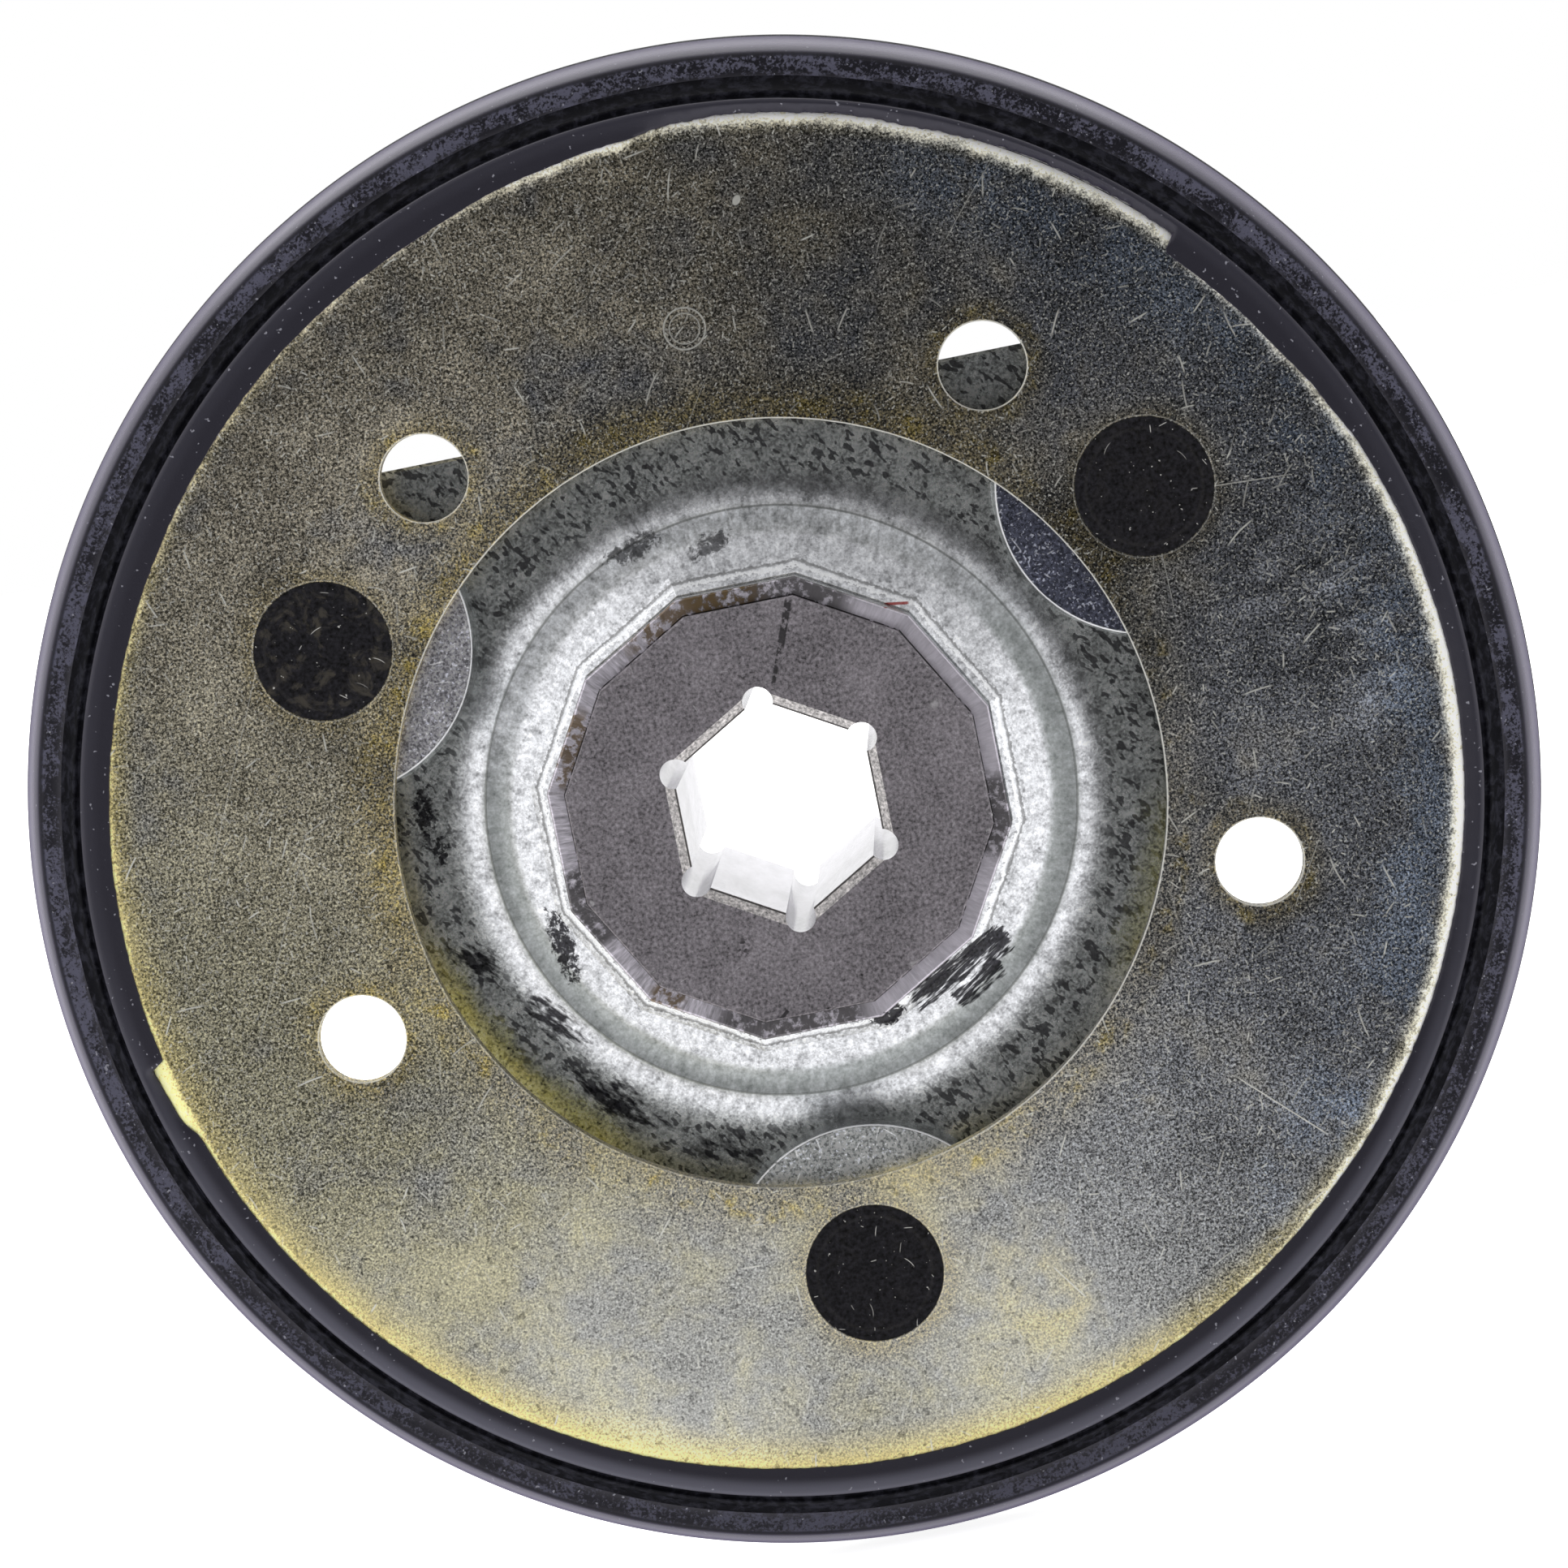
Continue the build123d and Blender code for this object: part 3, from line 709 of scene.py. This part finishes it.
# ---------------------------------------------------------------------------------------------
# Tyre
# ---------------------------------------------------------------------------------------------

# Where the moulding's flash ends on the steel face: bearing in degrees, radius in millimetres
FLASH_LINE = (
    (0, 67.65), (12, 67.42), (20, 67.25), (26, 66.8), (33, 66.38), (43.9, 66.3),
    (44.3, 68.2), (52, 68.4), (62, 68.28), (68, 68.02), (74, 68.27), (84, 68.2),
    (88, 67.85), (92, 67.15), (100, 66.78), (112, 66.25), (126, 66.47), (144, 66.45),
    (160, 66.6), (176, 66.7), (191.2, 66.68), (191.8, 68.1), (196, 67.75), (199, 66.8),
    (212, 66.88), (229, 66.8), (233, 67.03), (246, 66.88), (262, 66.68), (280, 66.62),
    (300, 66.67), (312, 66.85), (323, 67.12), (333, 67.42), (346, 67.66), (360, 67.65),
)
FLASH_HEIGHT, FLASH_ROUND, FLASH_STEPS = 0.16, 0.05, 7
TURN_STEPS = 1440

# Half width of the matt band in the middle of the tread, in millimetres
RUN_HALF_WIDTH = 2.4

# Front of the tyre outside the flash: radius, and depth behind the disc's face
TYRE_SIDE = (
    (69.15, -0.14), (69.4, -0.06), (69.58, 0.1), (69.66, 0.34), (69.74, 0.62), (69.95, 0.72),
    (70.1, 0.6), (70.2, 0.5), (70.32, 0.52), (70.45, 0.7), (70.7, 1.2), (71.0, 1.8), (71.4, 2.35),
    (71.9, 2.72), (72.4, 2.86), (73.0, 2.9), (73.6, 2.92), (74.0, 2.97), (74.18, 3.08), (74.3, 3.3),
)
TREAD_STEPS = 18

# Rear lip, as radius and depth in front of the tyre's rear, and the rubber's inner radius there
REAR_LIP = ((68.0, 0.02), (66.75, 0.1), (66.7, 0.4))
INNER_RADIUS = 66.98


def flash_radius(bearing):
    """Radius at which the rubber ends on the disc, with a smooth line between the given places."""
    for (low, start), (high, end) in zip(FLASH_LINE, FLASH_LINE[1:]):
        if low <= bearing <= high:
            share = (bearing - low) / (high - low)
            return start + (end - start) * share * share * (3 - 2 * share)
    return FLASH_LINE[0][1]


def tyre_section(bearing, ragged):
    """One radial section of the tyre as (radius, depth) points, from the flash round to the bend."""
    lip = flash_radius(bearing) + ragged
    lip_depth = face_depth(lip)
    inner_radius, inner_depth = TYRE_SIDE[0]
    points = [(lip + 0.02, lip_depth + 0.04), (lip, lip_depth - FLASH_HEIGHT * 0.5)]
    top = lip + FLASH_ROUND
    points += [(top, lip_depth - FLASH_HEIGHT)]
    for step in range(1, FLASH_STEPS):
        share = step / FLASH_STEPS
        radius = top + (inner_radius - top) * share
        left = (1 - share) ** 1.6
        points.append((radius, (lip_depth - FLASH_HEIGHT) * left + inner_depth * (1 - left)))
    points += TYRE_SIDE
    middle = -FACE_Y
    shoulder_radius, shoulder_depth = TYRE_SIDE[-1]
    for step in range(1, 2 * TREAD_STEPS):
        share = step / TREAD_STEPS - 1
        radius = TYRE_RADIUS - (TYRE_RADIUS - shoulder_radius) * share * share
        points.append((radius, middle + (middle - shoulder_depth) * share))
    points += [(radius, 2 * middle - depth) for radius, depth in reversed(TYRE_SIDE)]
    points += [(radius, 2 * middle - inset) for radius, inset in REAR_LIP]
    flange_end = FLANGE_END_Y - FACE_Y
    slant = BEND_RADIUS * math.sqrt(0.5)
    points += [(INNER_RADIUS, flange_end), (DISC_RADIUS, flange_end), (DISC_RADIUS, BEND_RADIUS)]
    points += [(BEND_START + slant, BEND_RADIUS - slant)]
    return points


def is_dull(radius, depth):
    """Whether a part of the tyre's outline is sooty: the groove or the middle of the tread."""
    from_middle = abs(depth + FACE_Y)
    groove = 69.6 < radius < 71.75 and from_middle > 5.5
    return groove or (radius > 75.0 and from_middle < RUN_HALF_WIDTH)


def closed_waves(rng, counts):
    """A seeded, slightly irregular wave round the wheel that ends where it starts."""
    waves = [(count, rng.uniform(0, 2 * math.pi)) for count in counts]
    return lambda turn: sum(math.sin(turn * count + phase) for count, phase in waves) / len(waves)


def build_tyre():
    """The tyre as one closed band whose front lip runs out unevenly over the steel."""
    rng = random.Random(7)
    slow = closed_waves(rng, (19, 31, 47, 83))
    quick = closed_waves(rng, (131, 197, 283, 389))
    sections = []
    for step in range(TURN_STEPS):
        bearing = 360.0 * step / TURN_STEPS
        turn = math.radians(bearing)
        torn = 1.0 if 44.1 < bearing < 90.0 else 0.35
        ragged = (slow(turn) * 0.12 + quick(turn) * 0.12 + (rng.random() - 0.5) * 0.06) * torn
        sections.append((turn, tyre_section(bearing, ragged)))
    verts, faces = [], []
    first = sections[0][1]
    count = len(first)
    middles = [
        ((radius + first[(k + 1) % count][0]) / 2, (depth + first[(k + 1) % count][1]) / 2)
        for k, (radius, depth) in enumerate(first)
    ]
    for angle, points in sections:
        for radius, depth in points:
            place = (radius * math.cos(angle), FACE_Y + depth, radius * math.sin(angle))
            verts.append(Vector(place) * MM)
    for turn in range(TURN_STEPS):
        here, there = turn * count, (turn + 1) % TURN_STEPS * count
        for k in range(count):
            n = (k + 1) % count
            faces.append((here + k, here + n, there + n, there + k))
    mesh = bpy.data.meshes.new("moulded_tyre")
    mesh.from_pydata(verts, [], faces)
    mesh.update()
    mesh.polygons.foreach_set("use_smooth", [True] * len(faces))
    mesh.set_sharp_from_angle(angle=math.radians(50))
    mesh.materials.append(black_rubber())
    mesh.materials.append(dull_rubber())
    dull = [is_dull(*middle) for middle in middles]
    mesh.polygons.foreach_set("material_index", [int(part) for part in dull] * TURN_STEPS)
    tyre = bpy.data.objects.new("moulded_tyre", mesh)
    bpy.context.scene.collection.objects.link(tyre)
    return tyre


# ---------------------------------------------------------------------------------------------
# Stage
# ---------------------------------------------------------------------------------------------

# The camera stands in front of the wheel, a little above its axis, with the wheel turned in view
EYE_RIGHT, EYE_UP, EYE_OUT = 12.24, 48.56, 520.1
TILT_DOWN, TURN_LEFT = 5.1, -1.3
WHEEL_TURN = 11.3
LENS = 121.1
WHITE = (1.0, 1.0, 1.0, 1.0)
FLOOR_HALF, FLOOR_GAP = 6.0, 0.0004

# Light of the tent, and of its opening towards the camera
TENT_STRENGTH = 1.25
OPENING_STRENGTH = 0.06
OPENING_AIM = (0.07, -1.0, 0.10)
OPENING_ANGLES = (15.0, 46.0)
OVERHEAD_WATTS = 30.0
DIM_AIM = (0.35, -0.55, 0.85)
DIM_SHARE = 0.5


def build_camera():
    """Camera whose picture shows the wheel turned by WHEEL_TURN about its axis."""
    roll = Matrix.Rotation(math.radians(WHEEL_TURN), 3, "Y")
    sideways = Matrix.Rotation(math.radians(TURN_LEFT), 3, "Y")
    tilt = sideways @ Matrix.Rotation(math.radians(TILT_DOWN), 3, "X")
    to_view = tilt.transposed()
    axes = [to_view @ Vector(axis) for axis in ((1, 0, 0), (0, 1, 0), (0, 0, 1))]
    in_wheel = [roll @ Vector((v.x, -v.z, v.y)) for v in axes]
    place = roll @ Vector((EYE_RIGHT, -EYE_OUT, EYE_UP)) + Vector((0, FACE_Y, 0))
    data = bpy.data.cameras.new("camera")
    data.lens = LENS
    data.sensor_width = 36.0
    camera = bpy.data.objects.new("camera", data)
    camera.matrix_world = Matrix.Translation(place * MM) @ Matrix(in_wheel).transposed().to_4x4()
    bpy.context.scene.collection.objects.link(camera)
    bpy.context.scene.camera = camera


def build_floor():
    """A wide, plain, pale floor under the wheel."""
    mesh = bpy.data.meshes.new("floor")
    half, z = FLOOR_HALF, tyre_low.z - FLOOR_GAP
    corners = [(-half, -half, z), (half, -half, z), (half, half, z), (-half, half, z)]
    mesh.from_pydata(corners, [], [(0, 1, 2, 3)])
    floor = bpy.data.objects.new("floor", mesh)
    bpy.context.scene.collection.objects.link(floor)
    p = Paint("pale_floor")
    mesh.materials.append(p.finish((0.93, 0.93, 0.93), 0.8, Emission_Color=WHITE, Emission_Strength=0.85))
    floor.visible_glossy = False


def build_light():
    """A white tent all round the wheel, dark where it opens for the camera, and a lamp overhead."""
    world = bpy.data.worlds.new("tent")
    bpy.context.scene.world = world
    world.use_nodes = True
    tree = world.node_tree
    tree.nodes.clear()
    output = tree.nodes.new("ShaderNodeOutputWorld")
    coordinate = tree.nodes.new("ShaderNodeTexCoord")

    def towards(direction):
        """How nearly a ray points in a direction, as the cosine of the angle between them."""
        aim = tree.nodes.new("ShaderNodeVectorMath")
        aim.operation = "DOT_PRODUCT"
        tree.links.new(coordinate.outputs["Generated"], aim.inputs[0])
        aim.inputs[1].default_value = Vector(direction).normalized()
        return Field(tree, aim.outputs["Value"])

    inner, outer = (math.cos(math.radians(angle)) for angle in OPENING_ANGLES)
    opening = towards(OPENING_AIM).rise(outer, inner)
    dim = towards(DIM_AIM).rise(0.55, 0.95) * DIM_SHARE
    strength = (1.0 - dim) * (TENT_STRENGTH - opening * (TENT_STRENGTH - OPENING_STRENGTH))
    tent = tree.nodes.new("ShaderNodeBackground")
    feed(tree, tent.inputs["Strength"], strength)
    seen = tree.nodes.new("ShaderNodeBackground")
    for background in (tent, seen):
        background.inputs["Color"].default_value = WHITE
    path = tree.nodes.new("ShaderNodeLightPath")
    blend = tree.nodes.new("ShaderNodeMixShader")
    tree.links.new(path.outputs["Is Camera Ray"], blend.inputs[0])
    tree.links.new(tent.outputs[0], blend.inputs[1])
    tree.links.new(seen.outputs[0], blend.inputs[2])
    tree.links.new(blend.outputs[0], output.inputs[0])

    lamp = bpy.data.lights.new("overhead", "AREA")
    lamp.shape = "SQUARE"
    lamp.size = 3.0
    lamp.energy = OVERHEAD_WATTS
    overhead = bpy.data.objects.new("overhead", lamp)
    overhead.location = (0.0, 1.4, 1.7)
    bpy.context.scene.collection.objects.link(overhead)


def paint_node(name, material):
    """Gives a CAD node its material."""
    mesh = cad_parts[name].data
    mesh.materials.clear()
    mesh.materials.append(material)


bpy.context.scene.view_settings.view_transform = "Standard"
build_camera()
build_light()
build_floor()

paint_node("friction_disc", yellow_zinc())
paint_node("hub_plate", clear_zinc())
paint_node("hex_hub", sintered())
rivet_paint = black_rivet()
for rivet in ("rivet_right", "rivet_left", "rivet_bottom"):
    paint_node(rivet, rivet_paint)

tyre = build_tyre()
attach(tyre, BODY)
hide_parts("rubber_tyre")
